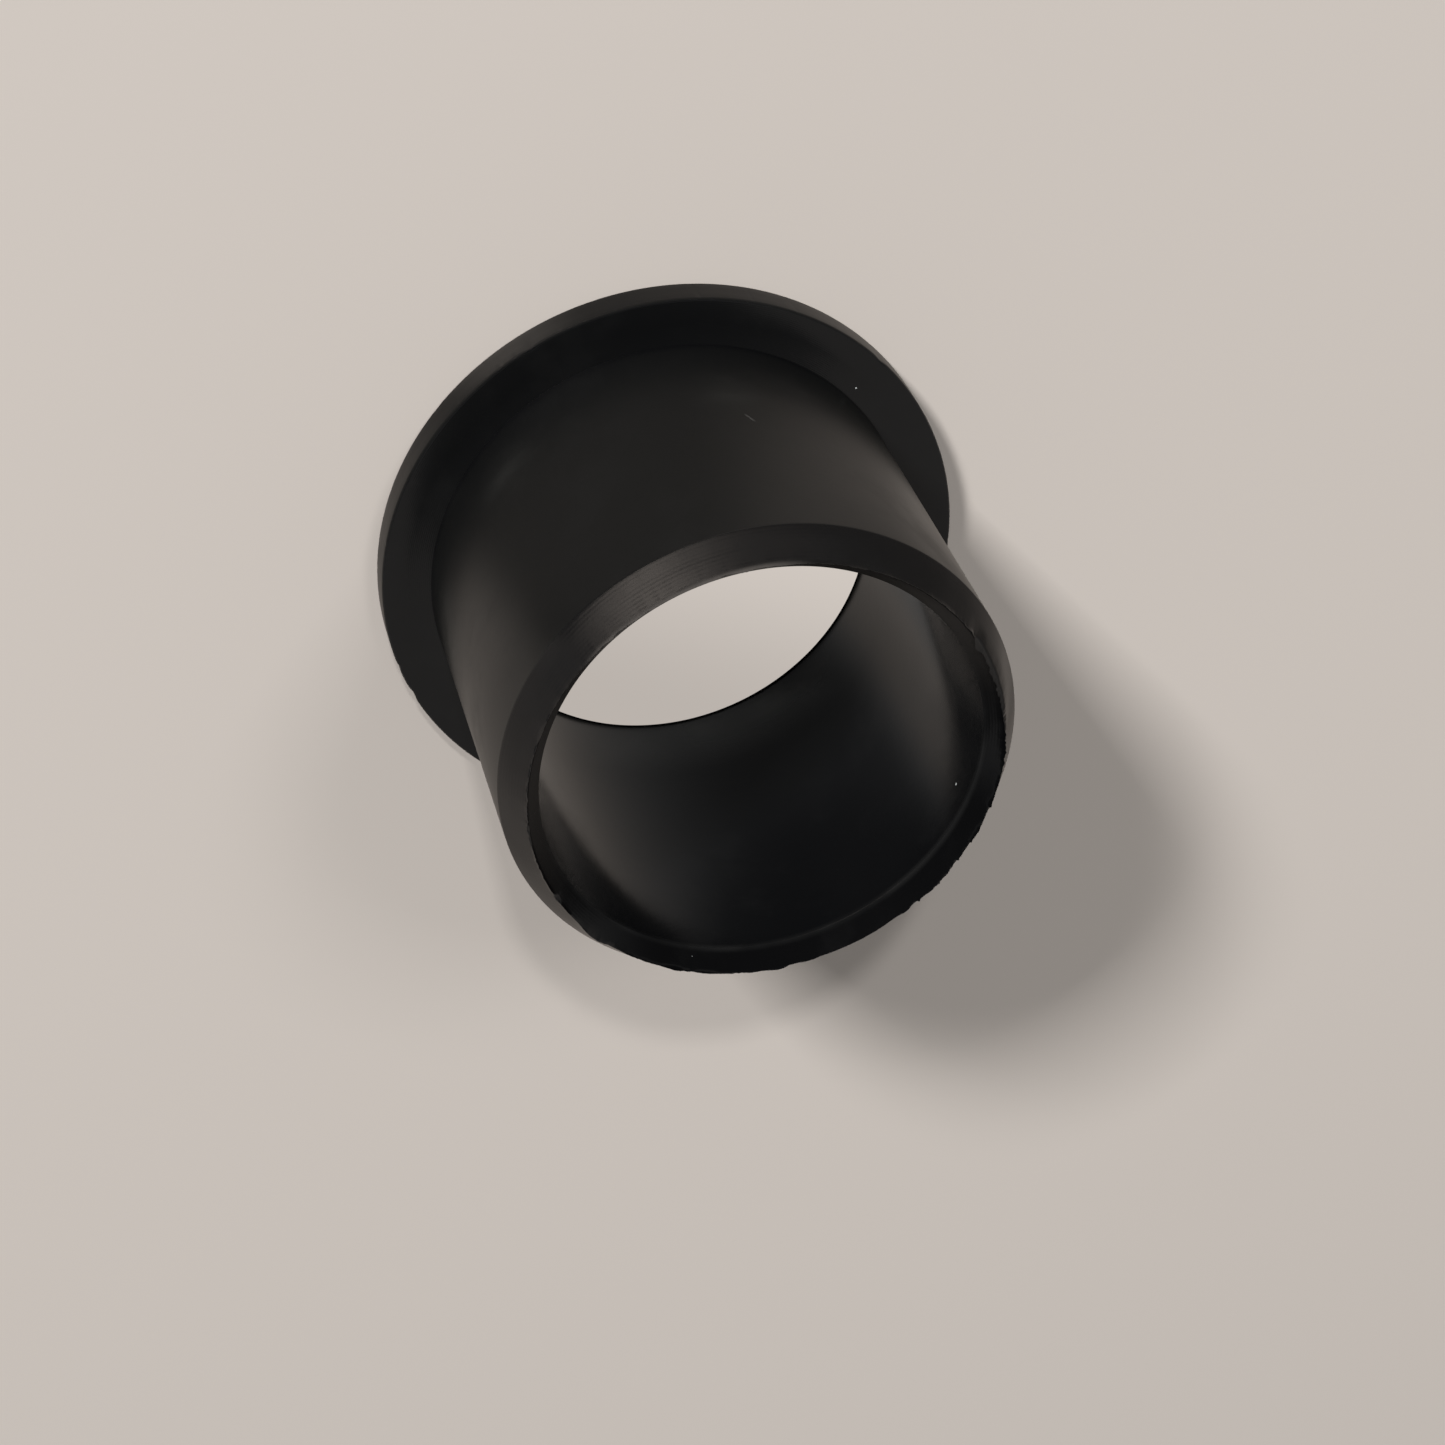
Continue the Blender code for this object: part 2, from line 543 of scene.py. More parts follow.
def turned_body_tree():
    """Geometry Nodes: turns a section of points once round the Z axis."""
    tree = bpy.data.node_groups.new("turned_body", "GeometryNodeTree")
    sockets = tree.interface
    for name, kind in (
        ("Section", "NodeSocketObject"),
        ("Steps", "NodeSocketInt"),
        ("Edge radius", "NodeSocketFloat"),
        ("Edge height", "NodeSocketFloat"),
        ("Flange thickness", "NodeSocketFloat"),
        ("Fin height", "NodeSocketFloat"),
        ("Fin raggedness", "NodeSocketFloat"),
        ("Fin grit", "NodeSocketFloat"),
        ("Rim wear", "NodeSocketFloat"),
        ("Seed", "NodeSocketFloat"),
        ("Material", "NodeSocketMaterial"),
    ):
        sockets.new_socket(name, in_out="INPUT", socket_type=kind)
    sockets.new_socket("Mesh", in_out="OUTPUT", socket_type="NodeSocketGeometry")
    t = Tree(tree)
    given = t.node("NodeGroupInput").outputs
    section = t.node("GeometryNodeObjectInfo", {"Object": given["Section"]}).outputs["Geometry"]
    rows = t.node("GeometryNodeAttributeDomainSize", {"Geometry": section}).outputs["Point Count"]
    rows_closed = t.math("ADD", rows, 1.0)
    grid = t.node(
        "GeometryNodeMeshGrid", {"Vertices X": t.math("ADD", given["Steps"], 1.0), "Vertices Y": rows_closed}
    )
    index = t.node("GeometryNodeInputIndex")
    column = t.math("FLOOR", t.math("DIVIDE", t.math("ADD", index, 0.5), rows_closed))
    row = t.math("SUBTRACT", index, t.math("MULTIPLY", column, rows_closed))
    row = t.math("MODULO", row, rows)
    angle = t.math("MULTIPLY", t.math("DIVIDE", column, given["Steps"]), math.tau)
    round_x, round_y = t.math("COSINE", angle), t.math("SINE", angle)

    def sampled(kind, value):
        made = t.node("GeometryNodeSampleIndex", data_type=kind)
        t.feed(made.inputs["Geometry"], section)
        t.feed(made.inputs["Value"], value)
        t.feed(made.inputs["Index"], row)
        return made.outputs[0]

    def named(name):
        made = t.node("GeometryNodeInputNamedAttribute", {"Name": name}, data_type="FLOAT")
        return sampled("FLOAT", made.outputs[0])

    place = t.node("ShaderNodeSeparateXYZ", {0: sampled("FLOAT_VECTOR", t.node("GeometryNodeInputPosition"))})
    fin, wear = named("fin"), named("wear")

    def noise(scale, row_share=0.0, detail=2.0):
        """Signed noise that runs round the turn, and changes from row to row by row_share."""
        where = t.node(
            "ShaderNodeCombineXYZ",
            {0: round_x, 1: round_y, 2: t.total(t.product(row, row_share), given["Seed"])},
        )
        made = t.node(
            "ShaderNodeTexNoise", {"Vector": where, "Scale": scale, "Detail": detail, "Roughness": 0.6}
        )
        return t.math("SUBTRACT", made.outputs[0], 0.5)

    # Height of the fin: slow waves, fine teeth and bites
    phases = random.Random(FLASH_SEED)
    waves = None
    for count in FLASH_WAVES_PER_TURN:
        wave = t.math("SINE", t.math("MULTIPLY_ADD", angle, float(count), phases.uniform(0.0, math.tau)))
        waves = wave if waves is None else t.math("ADD", waves, wave)
    waves = t.math("DIVIDE", waves, math.sqrt(len(FLASH_WAVES_PER_TURN)))
    teeth = t.product(noise(TEETH_SCALE, detail=4.0), 2.0, given["Fin grit"])
    height = t.total(given["Fin height"], t.product(waves, given["Fin raggedness"]), teeth)

    def bell(centre, width, reach=given["Edge radius"], shift=0.0):
        """1 at this angle on a circle of radius reach, falling to a third half the width away."""
        turn = t.math("SUBTRACT", angle, centre)
        turn = t.math("ARCTAN2", t.math("SINE", turn), t.math("COSINE", turn))
        across = t.math("DIVIDE", t.math("MULTIPLY_ADD", turn, reach, shift), width / 2)
        return t.math("EXPONENT", t.product(across, across, -1.0))

    for bite_angle, width, depth, barb in FLASH_BITES:
        height = t.math("SUBTRACT", height, t.product(bell(bite_angle, width), depth))
        spike = bell(bite_angle, BARB_WIDTH, shift=-width * 0.6)
        height = t.math("MULTIPLY_ADD", spike, barb, height)
    shreds = t.ramp(noise(SHRED_SCALE, detail=3.0), 0.02, 0.20)
    loose = t.product(given["Fin grit"], 0.4)
    for middle, length, tall in TORN_STRETCHES:
        torn = bell(middle, length)
        height = t.math("MULTIPLY_ADD", t.product(shreds, torn), tall, height)
        loose = t.math("MULTIPLY_ADD", torn, tall * 3.0, loose)
    middle, length, share = CALM_STRETCH
    height = t.product(height, t.math("SUBTRACT", 1.0, t.product(bell(middle, length), share)))
    standing = t.product(fin, t.math("MAXIMUM", height, 0.0))
    raised = t.total(standing, place.outputs["Z"])
    raised = t.math("MINIMUM", raised, t.total(given["Edge height"], height))

    # Sway of the fin: loose where it is torn, leaning on with the inner bevel on the +Y side
    sway = t.product(noise(SWAY_SCALE, detail=3.0), fin, loose)
    sway = t.math("MAXIMUM", sway, t.ramp(round_y, 0.6, 0.85, -1.0, 0.0))
    sway = t.math("MULTIPLY_ADD", standing, t.ramp(round_y, 0.80, 0.96, 0.0, 0.72), sway)
    for pressed_angle, length, shift in PRESSED_FLASH:
        sway = t.math("MULTIPLY_ADD", t.product(bell(pressed_angle, length), fin), shift, sway)

    # Small dents along the flange's edges, and nicks in its front edge
    dents = t.product(t.ramp(noise(DENT_SCALE, 0.004, detail=4.0), 0.06, 0.26), given["Rim wear"])
    in_front = t.math("GREATER_THAN", place.outputs["Z"], t.product(given["Flange thickness"], 0.5))
    for nick_angle, width, depth in RIM_NICKS:
        nick = t.product(bell(nick_angle, width, FLANGE_RADIUS), in_front)
        dents = t.math("MULTIPLY_ADD", nick, depth, dents)
    radius = t.math("SUBTRACT", t.total(place.outputs["X"], sway), t.product(dents, wear))
    moved = t.node(
        "ShaderNodeCombineXYZ",
        {0: t.math("MULTIPLY", radius, round_x), 1: t.math("MULTIPLY", radius, round_y), 2: raised},
    )
    shaped = t.node("GeometryNodeSetPosition", {"Geometry": grid.outputs["Mesh"], "Position": moved})
    merged = t.node("GeometryNodeMergeByDistance", {"Geometry": shaped, "Distance": 1e-7})
    smooth = t.node("GeometryNodeSetShadeSmooth", {"Geometry": merged})
    real = t.node("GeometryNodeRealizeInstances", {"Geometry": smooth})
    finished = t.node("GeometryNodeSetMaterial", {"Geometry": real, "Material": given["Material"]})
    t.node("NodeGroupOutput", {0: finished})
    return tree


def evaluated_mesh(tree, inputs, name):
    """The plain mesh that the tree makes from these named inputs."""
    carrier = bpy.data.objects.new(name, bpy.data.meshes.new(name))
    bpy.context.scene.collection.objects.link(carrier)
    modifier = carrier.modifiers.new("turn", "NODES")
    modifier.node_group = tree
    for socket in tree.interface.items_tree:
        if socket.in_out == "INPUT" and socket.name in inputs:
            modifier[socket.identifier] = inputs[socket.name]
    bpy.context.view_layer.update()
    graph = bpy.context.evaluated_depsgraph_get()
    mesh = bpy.data.meshes.new_from_object(carrier.evaluated_get(graph), depsgraph=graph)
    carrier.modifiers.remove(modifier)
    old = carrier.data
    carrier.data = mesh
    bpy.data.meshes.remove(old)
    mesh.name = name
    return carrier


def faces_outwards(mesh):
    shape = bmesh.new()
    shape.from_mesh(mesh)
    bmesh.ops.remove_doubles(shape, verts=shape.verts[:], dist=1e-7)
    bmesh.ops.recalc_face_normals(shape, faces=shape.faces[:])
    shape.to_mesh(mesh)
    shape.free()
    mesh.update()


# Shader groups


def shader_group(name, numbers):
    """A group that takes a Vector and these numbers, each with its default, and gives a Mask."""
    group = bpy.data.node_groups.new(name, "ShaderNodeTree")
    group.interface.new_socket("Vector", in_out="INPUT", socket_type="NodeSocketVector")
    for label, default in numbers:
        socket = group.interface.new_socket(label, in_out="INPUT", socket_type="NodeSocketFloat")
        socket.default_value = default
    group.interface.new_socket("Mask", in_out="OUTPUT", socket_type="NodeSocketFloat")
    t = Tree(group)
    return group, t, t.node("NodeGroupInput").outputs, t.node("NodeGroupOutput").inputs


def blotch_group():
    """Soft cloudy mask, such as handling marks."""
    group, t, given, result = shader_group("blotches", (("Scale", 100.0), ("Low", 0.45), ("High", 0.7)))
    cloud = t.node(
        "ShaderNodeTexNoise",
        {"Vector": given["Vector"], "Scale": given["Scale"], "Detail": 4.0, "Roughness": 0.62},
    )
    t.feed(result["Mask"], t.ramp(cloud.outputs[0], given["Low"], given["High"]))
    return group


def ring_group():
    """Mask of a narrow band round the axis: 1 on the circle of this radius and height, 0 a width away."""
    group, t, given, result = shader_group("ring", (("Radius", 0.015), ("Height", 0.0), ("Width", 0.0005)))
    part = t.node("ShaderNodeSeparateXYZ", {0: given["Vector"]}).outputs
    off_radius = t.math("SUBTRACT", t.hypotenuse(part[0], part[1]), given["Radius"])
    off_height = t.math("SUBTRACT", part[2], given["Height"])
    t.feed(result["Mask"], t.ramp(t.hypotenuse(off_radius, off_height), 0.0, given["Width"], 1.0, 0.0))
    return group


def make_plastic(sizes, flash, finish):
    """Satin black plastic: fine grain, handling marks, turned edges, and painted light: a highlight on the
    burr along the lip, sheen on the inner bevel, a line round the bore's corner, a paler patch deep in the
    bore and shade at the tube's root.
    """
    material = bpy.data.materials.new(SLOT)
    material.use_nodes = True
    t = Tree(material.node_tree)
    shader = material.node_tree.nodes["Principled BSDF"]
    where = t.node("ShaderNodeTexCoord").outputs["Object"]
    part = t.node("ShaderNodeSeparateXYZ", {0: where}).outputs
    radius = t.hypotenuse(part[0], part[1])
    toward_x, toward_y = t.math("DIVIDE", part[0], radius), t.math("DIVIDE", part[1], radius)
    blotches, ring = blotch_group(), ring_group()
    edge_radius = sizes.bore_radius + sizes.inner_bevel_width
    tube_radius = sizes.bore_radius + sizes.wall
    bevel_foot = sizes.length - sizes.inner_bevel_width / math.tan(sizes.inner_bevel_angle)

    def use(group, **values):
        made = t.node("ShaderNodeGroup", node_tree=group)
        values.setdefault("Vector", where)
        for name, value in values.items():
            t.feed(made.inputs[name], value)
        return made.outputs[0]

    def mixed(factor, first, second):
        made = t.node("ShaderNodeMix", data_type="RGBA")
        for name, value in (("Factor", factor), ("A", first), ("B", second)):
            t.feed(made.inputs[name], value)
        return made.outputs["Result"]

    def noise(scale, detail, roughness):
        inputs = {"Vector": where, "Scale": scale, "Detail": detail, "Roughness": roughness}
        return t.node("ShaderNodeTexNoise", inputs).outputs[0]

    def over(value, limit):
        return t.math("GREATER_THAN", value, limit)

    def under(value, limit):
        return t.math("LESS_THAN", value, limit)

    def near(place, low, high):
        """1 within low of this place, 0 further than high from it."""
        return t.ramp(t.vector("DISTANCE", where, place), low, high, 1.0, 0.0)

    # Zones of the part
    on_rim = over(radius, FLANGE_RADIUS - sizes.rim_round * 0.6)
    on_tube = t.product(over(radius, tube_radius - 0.02 * MM), under(radius, tube_radius + 0.05 * MM))
    on_face = t.product(
        over(part[2], sizes.flange_thickness - 0.02 * MM), over(radius, tube_radius + 0.05 * MM)
    )
    in_bore = under(radius, sizes.bore_radius + 0.4 * MM)
    on_inner_bevel = t.product(over(part[2], bevel_foot), under(radius, edge_radius))
    turned = t.math(
        "ADD",
        over(part[2], sizes.length - 2.3 * MM),
        over(radius, tube_radius + sizes.root_fillet),
        clamp=True,
    )

    # Wear and dirt, with painted light mixed in. The burr's painted highlight keeps to the narrow -Y side,
    # and the inner bevel's wear and painted sheen keep mostly to it.
    # Painted highlight on the burr: a pale band along the lip's edge, only on the -Y side.
    lip = use(ring, Radius=edge_radius, Height=sizes.length + flash.height, Width=flash.foot * 1.3)
    burr_glint = t.product(lip, t.ramp(toward_y, -0.955, -0.86, 1.0, 0.0))
    # Inner bevel paler on the -Y side, less of it right at the edge: wear and painted sheen.
    rubbed_sheen = t.product(
        on_inner_bevel,
        t.ramp(toward_y, -0.65, 0.25, 1.0, 0.0),
        t.ramp(part[2], sizes.length - 0.22 * MM, sizes.length - 0.06 * MM, 1.0, 0.35),
    )
    handling = use(blotches, Scale=210.0, Low=0.46, High=0.74)
    haze = use(blotches, Scale=70.0, Low=0.40, High=0.72)
    # Film on the tube and, at 0.3, on the flange's face; it fades out toward the flange as painted shade at
    # the tube's root.
    film_and_root_shade = t.product(
        on_tube,
        t.ramp(part[2], 2.3 * MM, 7.0 * MM, 0.50, 0.85),
        t.ramp(part[2], 2.0 * MM, 3.0 * MM, 0.15, 1.0),
    )
    film_and_root_shade = t.math("MULTIPLY_ADD", on_face, 0.30, film_and_root_shade)
    # Painted highlight: a pale, uneven line round the corner where the inner bevel meets the bore.
    bore_corner_glint = t.product(
        use(ring, Radius=sizes.bore_radius + 0.03 * MM, Height=bevel_foot, Width=0.36 * MM),
        t.ramp(use(blotches, Scale=170.0, Low=0.30, High=0.66), 0.0, 1.0, 0.35, 1.0),
    )

    # Painted light: a paler patch deep in the bore, on the +Y side near the flange end
    far_bore_light = t.product(t.ramp(toward_y, 0.40, 0.85), 0.72)
    skewed = t.math("MULTIPLY_ADD", toward_x, -0.25, toward_y)
    far_bore_light = t.math("MULTIPLY_ADD", t.ramp(skewed, 0.84, 0.98), 0.28, far_bore_light)
    far_bore_light = t.product(
        far_bore_light,
        t.ramp(part[2], 2.8 * MM, 6.8 * MM, 1.0, 0.0),
        t.ramp(part[2], 0.85 * MM, 1.0 * MM),
        in_bore,
    )

    smudge = 0.0
    for place, reach, strength in SMUDGES:
        smudge = t.math("MULTIPLY_ADD", near(place, 0.0, reach), strength, smudge)
    stretched = t.vector("MULTIPLY", where, (0.34, 0.34, 1.0))
    smudge = t.product(smudge, use(blotches, Vector=stretched, Scale=420.0, Low=0.20, High=0.80))

    middle, direction, half_length, half_width = SCRATCH
    offset = t.vector("SUBTRACT", where, middle)
    down = t.math("ABSOLUTE", t.vector("DOT_PRODUCT", offset, direction))
    straight = t.vector("LENGTH", offset)
    away = t.math("SUBTRACT", t.product(straight, straight), t.product(down, down))
    away = t.math("SQRT", t.math("MAXIMUM", away, 0.0))
    scratch = t.product(
        t.ramp(down, half_length * 0.5, half_length, 1.0, 0.0),
        t.ramp(away, half_width * 0.4, half_width, 1.0, 0.0),
    )

    dust = 0.0
    for place, reach in SPECKS:
        dust = t.math("MAXIMUM", near(place, reach * 0.6, reach), dust)

    # Colour: mask, its share and its colour, over the plastic
    colour = (*finish.plastic, 1.0)
    for mask, share, tint in (
        (haze, 0.30, HAZE_TINT),
        (film_and_root_shade, 1.0, finish.film_and_root_shade),
        (far_bore_light, 1.0, FAR_BORE_LIGHT_TINT),
        (on_inner_bevel, 0.8, INNER_BEVEL_TINT),
        (bore_corner_glint, 1.0, BORE_CORNER_GLINT_TINT),
        (on_rim, 0.8, finish.cut_edge),
        (handling, 0.10, HANDLING_TINT),
        (rubbed_sheen, 1.0, finish.rubbed_sheen),
        (smudge, 0.42, SMUDGE_TINT),
        (scratch, 0.6, SCRATCH_TINT),
        (burr_glint, 1.0, finish.burr_glint),
        (dust, 1.0, finish.dust),
    ):
        colour = mixed(t.product(mask, share), colour, (*tint, 1.0))
    t.feed(shader.inputs["Base Color"], colour)

    # Gloss: mask, and the roughness that it adds
    rough = finish.roughness
    for mask, step in (
        (haze, 0.03),
        (handling, 0.06),
        (on_rim, 0.12),
        (on_tube, 0.13),
        (smudge, 0.03),
        (rubbed_sheen, 0.15),
        (burr_glint, 0.3),
        (dust, 0.5),
    ):
        rough = t.math("MULTIPLY_ADD", mask, step, rough)
    t.feed(shader.inputs["Roughness"], t.math("MINIMUM", rough, 1.0))
    shader.inputs["Metallic"].default_value = 0.0
    shader.inputs["IOR"].default_value = 1.47

    # Relief: moulded grain, and tool lines round the bevels and the flange
    grain, pores = noise(5200.0, 3.0, 0.6), noise(1500.0, 2.0, 0.5)
    tool_lines = t.math("SINE", t.product(radius, math.tau / TOOL_LINE_PITCH))
    relief = t.total(t.product(pores, 0.6), t.product(grain, 0.5), t.product(tool_lines, turned, 0.10))
    bump = t.node("ShaderNodeBump", {"Height": relief, "Strength": 0.35, "Distance": 0.012 * MM})
    t.feed(shader.inputs["Normal"], bump)
    return material


# Studio


class Studio:
    """Places and strengths of the stage."""

    FLOOR_HALF = 1.5
    BORE_DISC = 15.5 * MM
    CAMERA_AIM = Vector((1.35 * MM, 14.405 * MM, 0.0))
    LAMP_DISTANCE = 1.6


# Each lamp: name, azimuth, elevation, side, share of the floor's light
LAMPS = (
    ("key_lamp", math.radians(286.5), math.radians(31.0), 0.24, 0.55),
    ("side_lamp", math.radians(219.0), math.radians(50.0), 0.42, 0.14),
    ("front_lamp", math.radians(259.0), math.radians(44.0), 0.075, 0.17),
)
SKY_SHARE = 0.15
WARM_GLOSS = (1.0, 0.885, 0.79, 1.0)
WINDOW_AZIMUTH = math.radians(281.0)
WALL_AZIMUTH = math.radians(235.0)

# What gloss meets on the floor, as steps of brightness along X: from, to, brightness before and after
LEFT_FLOOR_STEPS = (
    (18.0 * MM, 25.0 * MM, 0.0, -0.09),
    (25.0 * MM, 50.0 * MM, 0.0, 0.07),
    (55.0 * MM, 80.0 * MM, 0.0, 0.12),
    (90.0 * MM, 130.0 * MM, 0.0, -0.10),
)
RIGHT_FLOOR_STEPS = (
    (-24.0 * MM, -8.0 * MM, 0.20, 0.0),
    (-44.0 * MM, -26.0 * MM, -0.06, 0.0),
    (-115.0 * MM, -50.0 * MM, -0.09, 0.0),
)
BEHIND_STEPS = (
    (-41.0 * MM, -30.0 * MM, 0.36, 0.10),
    (-54.0 * MM, -42.0 * MM, -0.18, 0.0),
    (-95.0 * MM, -60.0 * MM, -0.12, 0.0),
)


def choose(t, factor, first, second):
    """first where factor is 0, second where it is 1."""
    made = t.node("ShaderNodeMix", data_type="FLOAT")
    for name, value in (("Factor", factor), ("A", first), ("B", second)):
        t.feed(made.inputs[name], value)
    return made.outputs[0]


def make_floor_material(finish):
    """Pale paper. It glows where the camera sees it through the bore, and where gloss meets it outside."""
    material = bpy.data.materials.new("pale_paper")
    material.use_nodes = True
    nodes = material.node_tree.nodes
    nodes.clear()
    t = Tree(material.node_tree)
    where = t.node("ShaderNodeTexCoord").outputs["Object"]
    part = t.node("ShaderNodeSeparateXYZ", {0: where}).outputs
    reach = t.hypotenuse(part[0], part[1])
    in_bore = t.math("LESS_THAN", reach, Studio.BORE_DISC)
    path = t.node("ShaderNodeLightPath").outputs
    seen = t.math("ADD", path["Is Camera Ray"], path["Is Transmission Ray"], clamp=True)
    gloss = path["Is Glossy Ray"]

    def along_x(steps):
        return t.total(*(t.ramp(part[0], *step) for step in steps))

    # Painted light under the camera's view through the bore: the paper glows, dimmer toward +X and +Y as a
    # painted shadow
    through_bore = t.ramp(t.total(part[0], part[1]), -6.0 * MM, 16.0 * MM, 1.07, 0.825)

    # For gloss close to the flange's rim
    beside_rim = t.total(
        t.ramp(part[0], -17.0 * MM, -4.0 * MM, 0.315, 0.145, smooth=False),
        t.ramp(t.math("ABSOLUTE", t.math("SUBTRACT", part[0], 3.4 * MM)), 0.5 * MM, 5.5 * MM, 0.28, 0.0),
        t.ramp(part[0], 8.0 * MM, 15.0 * MM, 0.0, 0.135),
    )
    beside_rim = t.product(beside_rim, t.ramp(path["Ray Length"], 0.08 * MM, 0.22 * MM))

    # For gloss further off: toward +X, toward -X, and toward -X and +Y
    left_floor = t.total(
        t.ramp(t.total(part[0], part[1]), 0.0, 14.0 * MM, 0.0, 0.27),
        along_x(LEFT_FLOOR_STEPS),
        t.ramp(part[1], 18.0 * MM, 26.0 * MM, 0.0, -0.05),
    )
    left_floor = t.product(left_floor, t.math("GREATER_THAN", part[0], 0.0))
    beyond_flange = t.math("LESS_THAN", part[0], -12.0 * MM)
    beside_flange = t.product(
        t.ramp(part[1], -4.0 * MM, 4.0 * MM),
        t.ramp(part[0], -30.0 * MM, -24.0 * MM, 0.0, 0.12),
        beyond_flange,
    )
    is_behind = t.product(t.ramp(part[1], 16.0 * MM, 26.0 * MM), beyond_flange)
    right_floor = t.total(along_x(RIGHT_FLOOR_STEPS), beside_flange)
    right_floor = choose(t, is_behind, right_floor, along_x(BEHIND_STEPS))
    lee = t.product(
        t.ramp(part[1], 20.0 * MM, 26.0 * MM),
        t.ramp(t.math("ABSOLUTE", part[0]), 9.0 * MM, 15.0 * MM, 1.0, 0.0),
    )
    open_floor = t.product(
        t.total(left_floor, right_floor, 0.08), t.math("SUBTRACT", 1.0, t.product(lee, 0.9))
    )
    gloss_level = choose(t, t.ramp(path["Ray Length"], 2.8 * MM, 4.5 * MM), beside_rim, open_floor)

    # Inside the bore gloss passes through the floor to the world, less of it toward -Y, up to a dark rim:
    # painted shade in what the bore's gloss meets
    far_edge = t.ramp(path["Ray Length"], 1.5 * MM, 3.0 * MM, 0.64 * MM, 0.0)
    bore_share = t.product(
        t.ramp(t.total(reach, far_edge), 12.76 * MM, 12.98 * MM, 1.0, 0.0),
        t.ramp(part[1], -1.5 * MM, 5.5 * MM, 0.35, 1.0),
    )

    paper = t.node("ShaderNodeBsdfDiffuse", {"Color": (*finish.floor, 1.0)})
    lit_paper = t.node("ShaderNodeEmission", {"Color": (*finish.floor, 1.0), "Strength": through_bore})
    sheen = t.node("ShaderNodeEmission", {"Color": WARM_GLOSS, "Strength": t.product(gloss_level, 1.08)})
    clear = t.node("ShaderNodeBsdfTransparent", {"Color": bore_share})
    shown = t.node("ShaderNodeMixShader", {0: t.product(seen, in_bore), 1: paper, 2: lit_paper})
    shown = t.node("ShaderNodeMixShader", {0: gloss, 1: shown, 2: sheen})
    shown = t.node("ShaderNodeMixShader", {0: t.product(gloss, in_bore), 1: shown, 2: clear})
    t.node("ShaderNodeOutputMaterial", {"Surface": shown})
    return material


def make_world():
    """Even soft light. Gloss meets a low bright window, and surroundings dark toward -Y, paler toward +Y."""
    world = bpy.data.worlds.new("studio")
    bpy.context.scene.world = world
    world.use_nodes = True
    nodes = world.node_tree.nodes
    nodes.clear()
    t = Tree(world.node_tree)
    toward = t.node("ShaderNodeTexCoord").outputs["Generated"]
    part = t.node("ShaderNodeSeparateXYZ", {0: toward}).outputs
    path = t.node("ShaderNodeLightPath").outputs

    # Over the floor
    def toward_azimuth(azimuth, sharpness, strength):
        """A soft bright patch of the surroundings in this direction."""
        centre = Vector((math.cos(azimuth), math.sin(azimuth), 0.0))
        facing = t.math("MAXIMUM", t.vector("DOT_PRODUCT", toward, centre), 0.0)
        return t.product(t.math("POWER", facing, sharpness), strength)

    band = t.total(
        toward_azimuth(WINDOW_AZIMUTH, 13.0, 2.45), toward_azimuth(WALL_AZIMUTH, 8.0, 0.22), 0.17
    )
    low = t.ramp(part[2], 0.07, 0.14, 1.0, 0.0)
    above = t.ramp(part[1], -0.25, 0.45, 0.005, 0.27)
    over = t.total(t.product(low, band), t.product(t.math("SUBTRACT", 1.0, low), above))

    # Under the bore: dark straight down and toward -Y, paler toward +Y
    depth = t.math("MAXIMUM", t.product(part[2], -1.0), 0.05)
    slope_x, slope_y = t.math("DIVIDE", part[0], depth), t.math("DIVIDE", part[1], depth)
    gentle = t.ramp(slope_y, -1.15, 0.35, 0.0, 0.37, smooth=False)
    steep = t.product(t.ramp(slope_y, -0.42, 0.02, 0.09, 0.34), t.ramp(slope_y, 0.33, 0.60, 1.0, 0.65))
    under = choose(t, t.ramp(slope_x, -0.15, 0.25), gentle, steep)
    under = t.product(under, t.ramp(t.hypotenuse(slope_x, slope_y), 0.30, 0.55))

    gloss_level = choose(t, t.math("LESS_THAN", part[2], -0.2), over, under)
    gloss = path["Is Glossy Ray"]
    gain = t.ramp(gloss_level, 0.12, 0.40, 1.0, 1.12)
    level = choose(t, gloss, SKY_SHARE, t.product(gloss_level, gain))
    tint = t.node("ShaderNodeMix", data_type="RGBA")
    warmth = t.product(gloss, t.ramp(gloss_level, 0.12, 0.40))
    for place, value in ((0, warmth), (6, (1.0, 1.0, 1.0, 1.0)), (7, WARM_GLOSS)):
        t.feed(tint.inputs[place], value)
    sky = t.node("ShaderNodeBackground", {"Color": tint.outputs["Result"], "Strength": level})
    t.node("ShaderNodeOutputWorld", {"Surface": sky})
    return world


def add_lamp(name, azimuth, elevation, side, share):
    """A square lamp in this direction from the part, which gives this share of the light on the floor."""
    distance = Studio.LAMP_DISTANCE
    lamp = bpy.data.lights.new(name, "AREA")
    lamp.shape = "SQUARE"
    lamp.size = side
    lamp.energy = share * (math.pi * distance) ** 2 / math.sin(elevation)
    made = bpy.data.objects.new(name, lamp)
    flat = math.cos(elevation)
    place = Vector((flat * math.cos(azimuth), flat * math.sin(azimuth), math.sin(elevation)))
    made.location = place * distance
    made.rotation_euler = (-place).to_track_quat("-Z", "Y").to_euler()
    made.visible_glossy = False
    bpy.context.scene.collection.objects.link(made)
    return made


